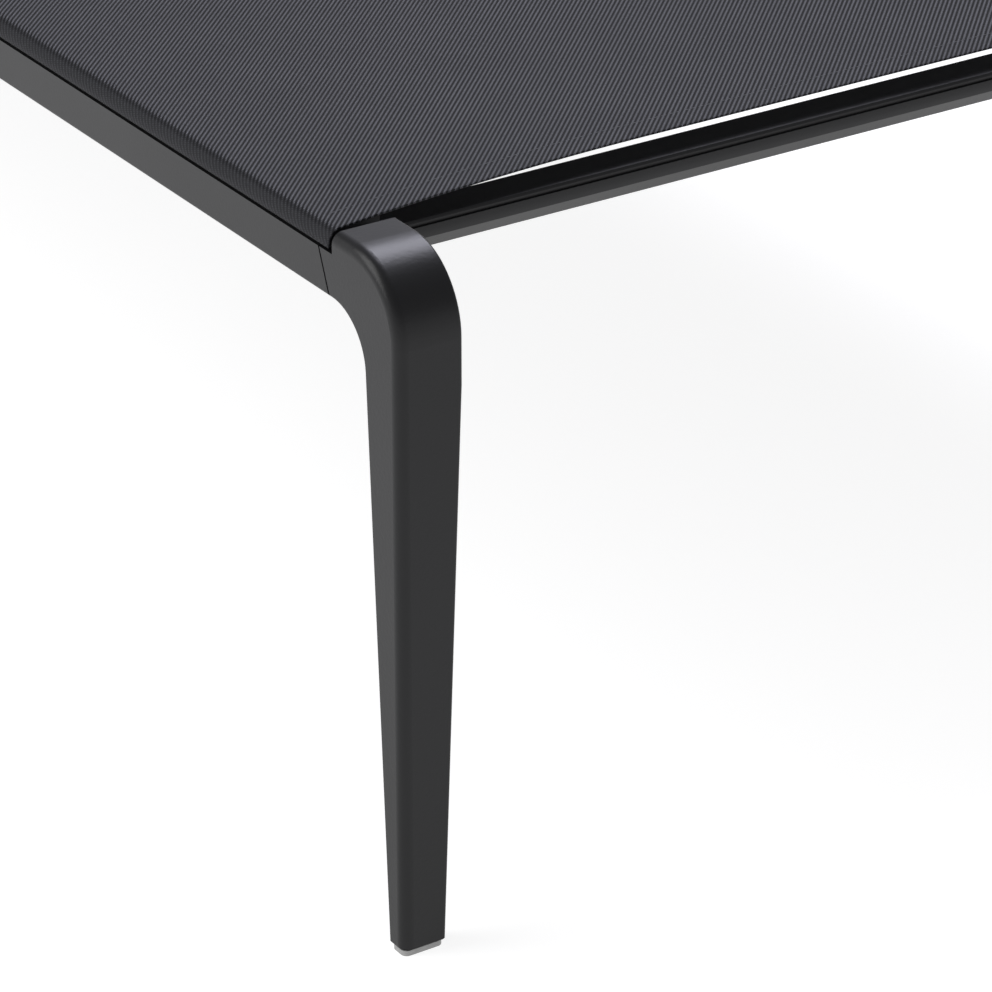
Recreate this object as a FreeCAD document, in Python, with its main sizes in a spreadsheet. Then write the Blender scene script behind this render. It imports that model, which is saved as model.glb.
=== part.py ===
import FreeCAD, Part
import os
import re
import Sketcher

# Reclining sun lounger with a screwed aluminium frame, cast corner legs and two stretched slings.
# Row frame: +Z up, +X across, +Y from the foot end to the head end, origin on the floor below the middle.
# "left" is the -X side. The rest pose is the flat bed; the backrest turns up about the hinge line.

doc = FreeCAD.newDocument("sun_lounger")

# ---------------------------------------------------------------- driving sizes, in mm and degrees
SIZES = {
    "overall_length": 2000, "overall_width": 700, "seat_height": 330,
    # sling fabric and the keder (spline) groove that grips it
    "sling_thickness": 0.9, "sling_gap": 0.1, "keder_drop": 8.4, "keder_slot": 2.4,
    "keder_radius": 2.7, "keder_inset": 5.2, "spline_radius": 2.1, "spline_setback": 12,
    # side rails: a hollow extrusion with a C-channel on its inner face
    "rail_width": 32, "rail_height": 29, "bead_radius": 6, "rail_top_radius": 3, "rail_edge_radius": 1.2,
    "wall": 2, "channel_depth": 12, "channel_height": 20, "channel_lip": 4,
    # inclined joint between a rail and its cast leg
    "seam_bottom": 54.4, "seam_top": 66, "seam_gap": 1.1, "spigot_length": 60, "spigot_fit": 0.15,
    # cast corner legs
    "leg_depth": 28, "leg_bend_outer": 36, "leg_bend_inner": 26, "leg_taper_top": 272,
    "foot_depth": 12.2, "foot_width": 22, "leg_edge_radius": 5.3, "leg_rear_radius": 1.2, "foot_chamfer": 0.8,
    "leg_inner_radius": 1.4, "sling_end": 54.5, "tuck_gap": 2.8,
    "glide_height": 2.6, "glide_inset": 0.7, "glide_corner": 3, "glide_stem_radius": 3.5,
    "glide_stem_length": 14, "glide_bore_spare": 1,
    # crossbars: a D-shaped tube with a ridge and a groove along its outer top edge
    "bar_radius": 11.35, "bar_setback": 71.2, "bar_centre_drop": 14.4, "bar_top_drop": 8.7, "bar_wall": 1.8,
    "bar_ridge": 1.2, "bar_step": 0.7, "bar_groove": 2, "bar_flat_high": 16, "bar_flat_low": 62,
    "plug_fit": 0.15, "plug_length": 28,
    "connector_length": 24, "connector_shift": 6, "fitting_gap": 0.2,
    # seat sling ends and the dropped spreader tube below it
    "sling_waist": 14.5, "waist_span": 160, "waist_knee": 55, "waist_knee_rise": 7.6,
    "seat_head_end": 160, "spreader_y": -400, "spreader_drop": 68, "spreader_radius": 9, "tube_wall": 1.5,
    "hanger_width": 26, "hanger_plate": 5, "socket_length": 16, "socket_wall": 3,
    # backrest frame, nested between the side rails
    "hinge_bar_y": 150, "hinge_y": 190, "pivot_drop": 16, "side_gap": 10, "back_rail_width": 26,
    "back_rail_height": 22, "back_overhang": 16, "back_length": 722, "cap_thickness": 3, "cap_tongue": 8,
    "back_top_inset": 22, "back_bottom_inset": 36, "back_sling_inset": 12,
    # pivots and the stay that props the backrest
    "pivot_radius": 4, "running_fit": 0.05, "pivot_block_length": 36, "pivot_screw_offset": 12,
    "spacer_radius": 9, "spacer_slack": 0.4, "pin_grip": 12,
    "stay_length": 330, "stay_thickness": 6, "stay_half_height": 9, "stay_side_gap": 1,
    "stay_tube_radius": 8, "stay_tube_drop": 20, "latch_pin_radius": 3.5, "latch_clearance": 0.3,
    "rivet_head": 1.6, "rivet_head_radius": 7,
    # latch rack in the C-channel: one notch for each backrest angle
    "rack_base": 1.2, "rack_ramp": 30, "rack_run_out": 8,
    "recline_one": 25, "recline_two": 36, "recline_three": 46, "recline_four": 55.5, "recline_five": 65,
    "rest_block_length": 20, "rest_block_setback": 24, "rest_reach": 26, "rest_lug": 2.6,
    # screws
    "screw_radius": 2, "screw_head_radius": 3.6, "screw_head": 2.2, "screw_play": 0.1, "screw_key": 1.3,
    "leg_screw_length": 12, "fitting_screw_length": 8, "rack_screw_offset": 5,
    "back_screw_length": 36,
}
sheet = doc.addObject("Spreadsheet::Sheet", "Sizes")
for row, (alias, value) in enumerate(SIZES.items(), start=1):
    sheet.set(f"A{row}", alias)
    sheet.set(f"B{row}", str(value))
    sheet.setAlias(f"B{row}", alias)
doc.recompute()

# ---------------------------------------------------------------- formulas shared by several sub-parts
HALF_LENGTH = "(overall_length / 2)"
OUTER = "(-overall_width / 2)"                                   # outer face of the left side rail
INNER = f"({OUTER} + rail_width)"                                # its inner face
RAIL_TOP = "(seat_height - sling_thickness - sling_gap)"
RAIL_BOTTOM = f"({RAIL_TOP} - rail_height)"
KEDER_Z = "(seat_height - keder_drop)"
SLING_ROOM = "(sling_thickness + sling_gap)"
BEAD_RADIUS = f"min(bead_radius; keder_drop - keder_slot / 2 - {SLING_ROOM})"    # no taller than the bead
CHANNEL_BACK = f"({INNER} - channel_depth)"
CHANNEL_FLOOR = f"({RAIL_BOTTOM} + channel_lip)"
CHANNEL_TOP = f"({CHANNEL_FLOOR} + channel_height)"
CHANNEL_MIDDLE = f"({INNER} - channel_depth / 2)"
FRONT = f"(-{HALF_LENGTH})"                                      # outer face of the foot-end legs
BAR_Y = f"({FRONT} + bar_setback)"
BAR_Z = "(seat_height - bar_centre_drop)"
BAR_TOP = "(seat_height - bar_top_drop)"
PIVOT_Z = "(seat_height - pivot_drop)"
BACK_OUTER = f"({INNER} + side_gap)"                             # outer face of the left backrest rail
BACK_INNER = f"({BACK_OUTER} + back_rail_width)"
BACK_BOTTOM = f"({RAIL_TOP} - back_rail_height)"
BACK_START = "(hinge_y - back_overhang)"
BACK_END = f"({BACK_START} + back_length)"
STAY_PIVOT_Y = "(hinge_y + stay_length)"
LATCH_Y = "(hinge_y + 2 * stay_length)"
STAY_OUTER = f"({BACK_OUTER} - stay_side_gap - stay_thickness)"
STAY_INNER = f"({BACK_OUTER} - stay_side_gap)"
REST_Y = f"({BACK_END} - rest_block_setback)"
RACK_TIP = f"({PIVOT_Z} - latch_pin_radius - latch_clearance)"
RECLINES = ("recline_one", "recline_two", "recline_three", "recline_four", "recline_five")


def bound(formula):
    """The formula as a document expression, with every size name pointing at its sheet cell."""
    return re.sub(r"[a-z_]+", lambda word: f"Sizes.{word[0]}" if word[0] in SIZES else word[0], formula)


def number(formula):
    """The formula's present value."""
    return float(sheet.evalExpression(bound(str(formula))))


def bind(thing, prop, formula):
    """Tie one property to the sheet."""
    thing.setExpression(prop, bound(str(formula)))


# ---------------------------------------------------------------- sketches, pads and pockets
def new_body(name):
    """An empty body, named after its sub-part."""
    body = doc.addObject("PartDesign::Body", name)
    body.Label = name
    return body


def plane_sketch(body, role, middle):
    """A sketch on one of the body's origin planes, shifted to `middle` along the plane's own axis."""
    sketch = body.newObject("Sketcher::SketchObject", body.Name + "_sketch")
    plane = [item for item in body.Origin.OriginFeatures if item.Role == role][0]
    sketch.AttachmentSupport = [(plane, "")]
    sketch.MapMode = "FlatFace"
    facing = "-" if role == "XZ_Plane" else ""
    bind(sketch, "AttachmentOffset.Base.z", f"{facing}({middle})")
    return sketch


def pin(sketch, geometry, point, formulas):
    """Hold one sketch point at two driven distances from the sketch's origin."""
    for kind, formula in zip(("DistanceX", "DistanceY"), formulas):
        index = sketch.addConstraint(Sketcher.Constraint(kind, -1, 1, geometry, point, number(formula)))
        sketch.setExpression(f"Constraints[{index}]", bound(formula))


def draw_outline(sketch, corners):
    """A closed outline of straight edges through the corners, each corner pinned."""
    places = [FreeCAD.Vector(number(across), number(up), 0) for across, up in corners]
    count = len(corners)
    for index, place in enumerate(places):
        sketch.addGeometry(Part.LineSegment(place, places[(index + 1) % count]))
    for index in range(count):
        sketch.addConstraint(Sketcher.Constraint("Coincident", index, 2, (index + 1) % count, 1))
    for index, formulas in enumerate(corners):
        pin(sketch, index, 1, formulas)


def draw_circles(sketch, centres, radius):
    """Equal circles at the given centres."""
    axis = FreeCAD.Vector(0, 0, 1)
    for index, centre in enumerate(centres):
        place = FreeCAD.Vector(number(centre[0]), number(centre[1]), 0)
        sketch.addGeometry(Part.Circle(place, axis, number(radius)))
        size = sketch.addConstraint(Sketcher.Constraint("Radius", index, number(radius)))
        sketch.setExpression(f"Constraints[{size}]", bound(radius))
        pin(sketch, index, 3, centre)


def extrude(body, kind, sketch, length):
    """Pad or pocket a sketch by `length`, half of it to each side; the body's volume has to change."""
    doc.recompute()
    before = body.Shape.Volume if body.Shape.Solids else 0
    feature = body.newObject("PartDesign::" + kind, body.Name + "_" + kind.lower())
    feature.Profile = sketch
    feature.SideType = "Symmetric"
    bind(feature, "Length", length)
    doc.recompute()
    change = body.Shape.Volume - before
    if change * (1 if kind == "Pad" else -1) <= 0:
        raise RuntimeError(f"{feature.Name} changed nothing")
    return feature


def outline(body, kind, role, corners, low, high):
    """Pad or pocket a straight-edged outline between two places along the plane's axis."""
    sketch = plane_sketch(body, role, f"({low} + {high}) / 2")
    draw_outline(sketch, corners)
    return extrude(body, kind, sketch, f"{high} - {low}")


def circles(body, kind, role, centres, radius, low, high):
    """Pad or pocket round pins or holes between two places along the plane's axis."""
    sketch = plane_sketch(body, role, f"({low} + {high}) / 2")
    draw_circles(sketch, centres, radius)
    return extrude(body, kind, sketch, f"{high} - {low}")


def rectangle(low_across, high_across, low_up, high_up):
    """The four corners of an upright rectangle."""
    return [(low_across, low_up), (high_across, low_up), (high_across, high_up), (low_across, high_up)]


def finish_edges(body, kind, chosen, size):
    """Fillet or chamfer the edges of the body that the test picks."""
    names = [f"Edge{index}" for index, edge in enumerate(body.Shape.Edges, start=1) if chosen(edge)]
    if not names:
        raise RuntimeError(f"no edges to finish on {body.Name}")
    base = body.Tip
    feature = body.newObject("PartDesign::" + kind, body.Name + "_" + kind.lower())
    feature.Base = (base, names)
    bind(feature, "Radius" if kind == "Fillet" else "Size", size)
    doc.recompute()
    if "Invalid" in feature.State:
        raise RuntimeError(f"{feature.Name} could not be made")


def runs_along(axis, *spots):
    """A test for edges parallel to an axis (0 = X, 1 = Y, 2 = Z) through any of the spots across it."""
    others = [index for index in range(3) if index != axis]
    places = [[number(part) for part in spot] for spot in spots]

    def chosen(edge):
        ends = [vertex.Point for vertex in edge.Vertexes]
        if len(ends) != 2 or abs(ends[0][axis] - ends[1][axis]) < edge.Length - 1e-4:
            return False
        return any(all(abs(end[index] - place[slot]) < 1e-3 for end in ends
                       for slot, index in enumerate(others)) for place in places)

    return chosen


# ---------------------------------------------------------------- primitives
def solid_box(name, spans):
    """A box between three (low, high) pairs of formulas."""
    box = doc.addObject("Part::Box", name)
    for prop, axis, (low, high) in zip(("Length", "Width", "Height"), "xyz", spans):
        bind(box, prop, f"{high} - ({low})")
        bind(box, f"Placement.Base.{axis}", low)
    return box


def solid_rod(name, axis, spot, radius, low, high):
    """A round rod along X, Y or Z between two places; `spot` is its centre across that axis."""
    rod = doc.addObject("Part::Cylinder", name)
    turn = {"x": ((0, 1, 0), 90), "y": ((1, 0, 0), -90), "z": ((0, 0, 1), 0)}[axis]
    rod.Placement = FreeCAD.Placement(FreeCAD.Vector(), FreeCAD.Rotation(FreeCAD.Vector(*turn[0]), turn[1]))
    bind(rod, "Radius", radius)
    bind(rod, "Height", f"{high} - ({low})")
    bind(rod, f"Placement.Base.{axis}", low)
    for other, formula in zip([letter for letter in "xyz" if letter != axis], spot):
        bind(rod, f"Placement.Base.{other}", formula)
    return rod


def join(name, *pieces):
    """Several shapes made one solid."""
    fused = doc.addObject("Part::MultiFuse", name)
    fused.Shapes = list(pieces)
    fused.Refine = True
    return fused


def cut(name, base, *tools):
    """A shape with others taken out of it."""
    for index, tool in enumerate(tools):
        result = doc.addObject("Part::Cut", name if index == len(tools) - 1 else name + "_part")
        result.Base = base
        result.Tool = tool
        base = result
    return base


def group(name, pieces):
    """Identical pieces kept as separate solids of one sub-part."""
    compound = doc.addObject("Part::Compound", name)
    compound.Links = pieces
    return compound


def mirrored(source, name, across="x"):
    """The same piece on the other side of the middle, across X or Y."""
    twin = doc.addObject("Part::Mirroring", name)
    twin.Source = source
    twin.Normal = FreeCAD.Vector(1, 0, 0) if across == "x" else FreeCAD.Vector(0, 1, 0)
    return twin


subparts = []


def keep(thing, name):
    """List a finished sub-part under its own name."""
    thing.Label = name
    subparts.append(thing)
    return thing


def keep_pair(left, stem):
    """List a left-hand piece and its mirrored right-hand twin."""
    keep(left, stem + "_left")
    keep(mirrored(left, stem + "_right"), stem + "_right")


def screw(name, axis, spot, seat, length, sign=1):
    """Pan-head screw with a hexagon socket: head outside `seat`, shank going `sign` along the axis."""
    tip = f"{seat} + {sign} * {length}"
    head_end = f"{seat} - {sign} * screw_head"
    shank = (seat, tip) if sign > 0 else (tip, seat)
    head = (head_end, seat) if sign > 0 else (seat, head_end)
    body = join(name + "_body", solid_rod(name + "_shank", axis, spot, "screw_radius", *shank),
                solid_rod(name + "_head", axis, spot, "screw_head_radius", *head))
    socket = doc.addObject("Part::Prism", name + "_socket")
    socket.Polygon = 6
    bind(socket, "Circumradius", "screw_key")
    bind(socket, "Height", "screw_head")
    turn = {"x": ((0, 1, 0), 90), "z": ((0, 0, 1), 0)}[axis]
    rotation = FreeCAD.Rotation(FreeCAD.Vector(*turn[0]), turn[1])
    socket.Placement = FreeCAD.Placement(FreeCAD.Vector(), rotation)
    bind(socket, f"Placement.Base.{axis}", f"{head_end} - screw_head / 2")
    for other, formula in zip([letter for letter in "xyz" if letter != axis], spot):
        bind(socket, f"Placement.Base.{other}", formula)
    return cut(name, body, socket)


def screw_bore(name, axis, spot, low, high):
    """The clearance hole of a screw, as a rod to take out of a fitting."""
    return solid_rod(name, axis, spot, "screw_radius + screw_play", low, high)


# ---------------------------------------------------------------- extrusions with a bead and keder groove
def keder_rail(name, outer, width, height, start, end):
    """Left-hand rail along Y. The sling wraps the bead on its outer top edge, so the bead stands back
    by the sling's room, and the keder groove under the bead opens on the outer face."""
    body = new_body(name)
    inner = f"({outer} + {width})"
    bottom = f"({RAIL_TOP} - {height})"
    bead_face = f"({outer} + {SLING_ROOM})"
    groove_low = f"({KEDER_Z} - keder_slot / 2)"
    groove_high = f"({KEDER_Z} + keder_slot / 2)"
    outline(body, "Pad", "XZ_Plane", [(outer, bottom), (inner, bottom), (inner, RAIL_TOP),
                                      (bead_face, RAIL_TOP), (bead_face, groove_low), (outer, groove_low)],
            start, end)
    finish_edges(body, "Fillet", runs_along(1, (bead_face, RAIL_TOP)), BEAD_RADIUS)
    finish_edges(body, "Fillet", runs_along(1, (inner, RAIL_TOP)), "rail_top_radius")
    finish_edges(body, "Fillet", runs_along(1, (outer, bottom), (inner, bottom)), "rail_edge_radius")
    chamber = f"({outer} + keder_inset)"
    circles(body, "Pocket", "XZ_Plane", [(chamber, KEDER_Z)], "keder_radius", start, end)
    outline(body, "Pocket", "XZ_Plane", rectangle(bead_face, chamber, groove_low, groove_high), start, end)
    return body


def seam_cut(body, keeps_rail, flip=""):
    """Cut the body along the inclined seam, half the seam's gap to its own side. It keeps the rail's side
    or the leg's side; flip "-" makes the cut at the head end."""
    side = 1 if keeps_rail else -1
    slope = "((seam_top - seam_bottom) / rail_height)"
    low_y = f"({FRONT} + seam_bottom + {side} * seam_gap / 2 - {slope} * rail_height)"
    high_y = f"({FRONT} + seam_top + {side} * seam_gap / 2 + {slope} * rail_height)"
    far_y = f"({FRONT} - rail_height)" if keeps_rail else f"({FRONT} + seam_top + 2 * rail_height)"
    low_z = f"({RAIL_BOTTOM} - rail_height)"
    high_z = f"({RAIL_TOP} + rail_height)"
    corners = [(low_y, low_z), (high_y, high_z), (far_y, high_z), (far_y, low_z)]
    outline(body, "Pocket", "YZ_Plane", [(flip + y, z) for y, z in corners],
            f"({OUTER} - rail_width)", f"({INNER} + rail_width)")


# ---------------------------------------------------------------- side rails
LEG_SCREW_X = f"({OUTER} + (rail_width - channel_depth) / 2)"
LEG_SCREW_Y = f"({FRONT} + seam_bottom + spigot_length / 2)"
CAVITY_TOP = f"({KEDER_Z} - keder_radius - wall)"
CAVITY_INNER = f"({CHANNEL_BACK} - wall)"
RACK_FACES = [f"(hinge_y + 2 * stay_length * cos({angle}) + latch_pin_radius)" for angle in RECLINES]
RACK_SCREWS = [f"({face} + rack_screw_offset)" for face in (RACK_FACES[0], RACK_FACES[-1])]
BARS_Y = {"foot": BAR_Y, "hinge": "hinge_bar_y", "head": f"(-{BAR_Y})"}
CONNECTORS_Y = {"foot": f"({BAR_Y} + connector_shift)", "hinge": "hinge_bar_y",
                "head": f"(-({BAR_Y} + connector_shift))"}
FITTINGS_Y = [*CONNECTORS_Y.values(), "spreader_y", "(hinge_y + pivot_screw_offset)", *RACK_SCREWS, REST_Y]

side_rail = keder_rail("side_rail_left", OUTER, "rail_width", "rail_height", FRONT, HALF_LENGTH)
outline(side_rail, "Pocket", "XZ_Plane",
        rectangle(f"{OUTER} + wall", CAVITY_INNER, f"{RAIL_BOTTOM} + wall", CAVITY_TOP), FRONT, HALF_LENGTH)
outline(side_rail, "Pocket", "XZ_Plane", rectangle(CHANNEL_BACK, INNER, CHANNEL_FLOOR, CHANNEL_TOP),
        FRONT, HALF_LENGTH)
seam_cut(side_rail, True)
seam_cut(side_rail, True, flip="-")
circles(side_rail, "Pocket", "XY_Plane", [(CHANNEL_MIDDLE, place) for place in FITTINGS_Y],
        "screw_radius + screw_play", f"({RAIL_BOTTOM} - wall)", CHANNEL_FLOOR)
circles(side_rail, "Pocket", "XY_Plane", [(LEG_SCREW_X, LEG_SCREW_Y), (LEG_SCREW_X, "-" + LEG_SCREW_Y)],
        "screw_radius + screw_play", f"({RAIL_BOTTOM} - wall)", f"({RAIL_BOTTOM} + wall)")
keep_pair(side_rail, "side_rail")

# ---------------------------------------------------------------- cast legs and their glides
# The leg runs down from a short arm that continues the rail. It tapers on its inner and rear faces only,
# so its outer faces stay upright. Past the sling's end the arm steps down to the keder groove.
ARM_END = f"({FRONT} + sling_end - tuck_gap)"
NECK_END = f"({FRONT} + seam_top + rail_height)"
SPIGOT_END = f"({FRONT} + seam_bottom + spigot_length)"
LEG_BACK = f"({FRONT} + leg_depth)"
FOOT_BACK = f"({FRONT} + foot_depth)"
FOOT_INNER = f"({OUTER} + foot_width)"


def skin_edges(outward):
    """Picks the edges that run round the leg's front face, its outer bend and the arm's top: those on the
    frame's outer face if outward, else those on the inner side."""
    bend = number("leg_bend_outer")
    centre = FreeCAD.Vector(0, number(FRONT) + bend, number("seat_height") - bend)

    def chosen(edge):
        points = [edge.valueAt(edge.FirstParameter + share * (edge.LastParameter - edge.FirstParameter))
                  for share in (0.1, 0.5, 0.9)]
        if abs(points[0].x - points[2].x) > 0.5 * edge.Length:
            return False
        front = all(abs(point.y - number(FRONT)) < 1e-3 for point in points)
        top = all(abs(point.z - number("seat_height")) < 1e-3 for point in points)
        bent = all(abs(FreeCAD.Vector(0, point.y, point.z).distanceToPoint(centre) - bend) < 1e-3
                   for point in points)
        return (front or top or bent) and (abs(points[1].x - number(OUTER)) < 1e-3) == outward

    return chosen


def on_rear_skin(edge):
    """Picks the edges along the leg's rear face, its inner bend and the arm's underside."""
    points = [edge.valueAt(edge.FirstParameter + share * (edge.LastParameter - edge.FirstParameter))
              for share in (0.1, 0.5, 0.9)]
    if abs(points[0].x - points[2].x) > 0.5 * edge.Length:
        return False
    foot, lean = number("foot_depth"), number("leg_depth - foot_depth")
    low, high = number("glide_height"), number(RAIL_BOTTOM)
    return all(point.z < high + 1e-3 and
               point.y - number(FRONT) > foot + lean * (point.z - low) / (high - low) - 1e-3
               for point in points)


def round_the_foot(edge):
    """Picks the edges of the leg's lower end."""
    return all(abs(vertex.Point.z - number("glide_height")) < 1e-3 for vertex in edge.Vertexes)


def leg_casting():
    """The foot-end left leg; the other three are the same casting mirrored. The arm's end, where the
    sling runs past the rail, is stepped down to the keder groove to leave the sling's hem free."""
    body = new_body("leg_foot_left")
    step_z = f"({KEDER_Z} - keder_slot / 2)"
    outline(body, "Pad", "YZ_Plane",
            [(FRONT, "glide_height"), (FOOT_BACK, "glide_height"), (LEG_BACK, RAIL_BOTTOM),
             (NECK_END, RAIL_BOTTOM), (NECK_END, step_z), (ARM_END, step_z), (ARM_END, "seat_height"),
             (FRONT, "seat_height")], OUTER, INNER)
    finish_edges(body, "Fillet", runs_along(0, (FRONT, "seat_height")), "leg_bend_outer")
    finish_edges(body, "Fillet", runs_along(0, (LEG_BACK, RAIL_BOTTOM)), "leg_bend_inner")
    beyond = f"{INNER} + rail_width"
    outline(body, "Pocket", "XZ_Plane",
            [(FOOT_INNER, "glide_height"), (INNER, "leg_taper_top"), (beyond, "leg_taper_top"),
             (beyond, "0"), (FOOT_INNER, "0")], f"({FRONT} - leg_depth)", ARM_END)
    finish_edges(body, "Fillet", skin_edges(outward=False), "leg_inner_radius")
    finish_edges(body, "Fillet", skin_edges(outward=True), "leg_edge_radius")
    finish_edges(body, "Fillet", on_rear_skin, "leg_rear_radius")
    finish_edges(body, "Chamfer", round_the_foot, "foot_chamfer")
    seam_cut(body, False)
    add_spigot(body)
    foot_centre = [(f"({OUTER} + foot_width / 2)", f"({FRONT} + foot_depth / 2)")]
    circles(body, "Pocket", "XY_Plane", foot_centre, "glide_stem_radius + running_fit",
            "0", "(glide_height + glide_stem_length)")
    circles(body, "Pocket", "XY_Plane", [(LEG_SCREW_X, LEG_SCREW_Y)], "screw_radius + screw_play",
            RAIL_BOTTOM, f"({RAIL_BOTTOM} + leg_screw_length + wall)")
    return body


def add_spigot(body):
    """The tongue that slides into the rail's cavity and takes the leg screw from below."""
    outline(body, "Pad", "XZ_Plane",
            rectangle(f"{OUTER} + wall + spigot_fit", f"{CAVITY_INNER} - spigot_fit",
                      f"{RAIL_BOTTOM} + wall + spigot_fit", f"{CAVITY_TOP} - spigot_fit"),
            ARM_END, SPIGOT_END)


leg = leg_casting()
keep_pair(leg, "leg_foot")
leg_head = mirrored(leg, "leg_head_left", across="y")
keep_pair(leg_head, "leg_head")


def foot_glide():
    """Plastic pad under the foot, with a stem pressed up into the leg."""
    body = new_body("glide_foot_left")
    sides = (f"({OUTER} + glide_inset)", f"({FOOT_INNER} - glide_inset)")
    ends = (f"({FRONT} + glide_inset)", f"({FOOT_BACK} - glide_inset)")
    outline(body, "Pad", "XY_Plane", rectangle(*sides, *ends), "0", "glide_height")
    corners = [(side, end) for side in sides for end in ends]
    finish_edges(body, "Fillet", runs_along(2, *corners), "glide_corner")
    circles(body, "Pad", "XY_Plane", [(f"({OUTER} + foot_width / 2)", f"({FRONT} + foot_depth / 2)")],
            "glide_stem_radius", "(glide_height / 2)",
            "(glide_height + glide_stem_length - glide_bore_spare)")
    return body


glide = foot_glide()
keep_pair(glide, "glide_foot")
keep_pair(mirrored(glide, "glide_head_left", across="y"), "glide_head")

# ---------------------------------------------------------------- crossbars and their connectors
HALF_CHORD = f"(sqrt(bar_radius ^ 2 - ({BAR_TOP} - {BAR_Z}) ^ 2))"
WEB_TOP = f"({BAR_TOP} - bar_step)"
WEB_BOTTOM = f"({WEB_TOP} - bar_wall)"


def crossbar(name, middle_y, low_x, outward="-"):
    """D-shaped tube across the frame, from low_x to its mirror. A ridge stands along the edge of its flat
    top on the outward side (-Y or +Y), with a groove under it and a narrow flat along the belly."""
    body = new_body(name)
    span = (low_x, f"(-{low_x})")
    circles(body, "Pad", "YZ_Plane", [(middle_y, BAR_Z)], "bar_radius", *span)
    circles(body, "Pocket", "YZ_Plane", [(middle_y, BAR_Z)], "bar_radius - bar_wall", *span)
    web = rectangle(f"({middle_y} - {HALF_CHORD})", f"({middle_y} + {HALF_CHORD})", WEB_BOTTOM, BAR_TOP)
    outline(body, "Pad", "YZ_Plane", web, *span)
    ridge_y = f"({middle_y} {outward} {HALF_CHORD})"
    ridge_back = f"({middle_y} {outward} ({HALF_CHORD} - bar_ridge))"
    inward = "+" if outward == "-" else "-"
    past = f"({middle_y} {inward} 2 * bar_radius)"
    before = f"({middle_y} {outward} 2 * bar_radius)"
    crown = rectangle(before, past, BAR_TOP, f"({BAR_Z} + 2 * bar_radius)")
    outline(body, "Pocket", "YZ_Plane", crown, *span)
    step = rectangle(ridge_back, past, WEB_TOP, f"({BAR_TOP} + bar_step)")
    outline(body, "Pocket", "YZ_Plane", step, *span)
    groove = rectangle(before, ridge_y, f"({BAR_TOP} - bar_ridge - bar_groove)", f"({BAR_TOP} - bar_ridge)")
    outline(body, "Pocket", "YZ_Plane", groove, *span)
    (high_y, high_z), (low_y, low_z) = [
        (f"({middle_y} {outward} bar_radius * cos({turn}))", f"({BAR_Z} - bar_radius * sin({turn}))")
        for turn in ("bar_flat_high", "bar_flat_low")]
    outline(body, "Pocket", "YZ_Plane", [(high_y, high_z), (high_y, low_z), (low_y, low_z)], *span)
    return body


def bar_tongue(name, middle_y, low_x, high_x):
    """The end plug that fills a crossbar's bore, flat on top to clear the bar's web."""
    rod = solid_rod(name + "_rod", "x", (middle_y, BAR_Z), "bar_radius - bar_wall - plug_fit", low_x, high_x)
    above = solid_box(name + "_above", [(low_x, high_x),
                                        (f"{middle_y} - bar_radius", f"{middle_y} + bar_radius"),
                                        (f"{WEB_BOTTOM} - plug_fit", f"{BAR_Z} + 2 * bar_radius")])
    return cut(name, rod, above)


def channel_block(name, middle_y, length, inner=INNER):
    """A block that fills the side rail's C-channel."""
    return solid_box(name, [(f"{CHANNEL_BACK} + fitting_gap", inner),
                            (f"{middle_y} - {length} / 2", f"{middle_y} + {length} / 2"),
                            (CHANNEL_FLOOR, f"{CHANNEL_TOP} - fitting_gap")])


def fitting_bore(name, middle_y):
    """The hole for a fitting screw that comes up through the channel's lip."""
    return screw_bore(name, "z", (CHANNEL_MIDDLE, middle_y), f"{CHANNEL_FLOOR} - wall",
                      f"{RAIL_BOTTOM} + fitting_screw_length + fitting_gap")


for place, middle in BARS_Y.items():
    outward = "+" if place == "head" else "-"
    keep(crossbar(f"crossbar_{place}", middle, INNER, outward), f"crossbar_{place}")
    stem = f"crossbar_connector_{place}"
    block_middle = CONNECTORS_Y[place]
    block = channel_block(stem + "_block", block_middle, "connector_length")
    tongue = bar_tongue(stem + "_tongue", middle, INNER, f"{INNER} + plug_length")
    connector = cut(stem, join(stem + "_solid", block, tongue), fitting_bore(stem + "_bore", block_middle))
    keep_pair(connector, stem)

# ---------------------------------------------------------------- dropped spreader tube under the seat
SPREADER_Z = "(seat_height - spreader_drop)"
PLATE_FACE = f"({INNER} + hanger_plate)"
SOCKET_END = f"({PLATE_FACE} + socket_length)"
SOCKET_RADIUS = "(spreader_radius + plug_fit + socket_wall)"

block = channel_block("hanger_block", "spreader_y", "hanger_width")
plate = solid_box("hanger_plate_box", [(INNER, PLATE_FACE),
                                       ("spreader_y - hanger_width / 2", "spreader_y + hanger_width / 2"),
                                       (f"{SPREADER_Z} - {SOCKET_RADIUS}", f"{CHANNEL_TOP} - fitting_gap")])
socket = solid_rod("hanger_socket", "x", ("spreader_y", SPREADER_Z), SOCKET_RADIUS, INNER, SOCKET_END)
bore = solid_rod("hanger_socket_bore", "x", ("spreader_y", SPREADER_Z), "spreader_radius + plug_fit",
                 PLATE_FACE, f"{SOCKET_END} + wall")
hanger = cut("spreader_hanger", join("hanger_solid", block, plate, socket), bore,
             fitting_bore("hanger_screw_bore", "spreader_y"))
keep_pair(hanger, "spreader_hanger")
tube = solid_rod("spreader_outside", "x", ("spreader_y", SPREADER_Z), "spreader_radius", PLATE_FACE,
                 f"-{PLATE_FACE}")
hollow = solid_rod("spreader_inside", "x", ("spreader_y", SPREADER_Z), "spreader_radius - tube_wall",
                   PLATE_FACE, f"-{PLATE_FACE}")
keep(cut("spreader_tube", tube, hollow), "spreader_tube")


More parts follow.
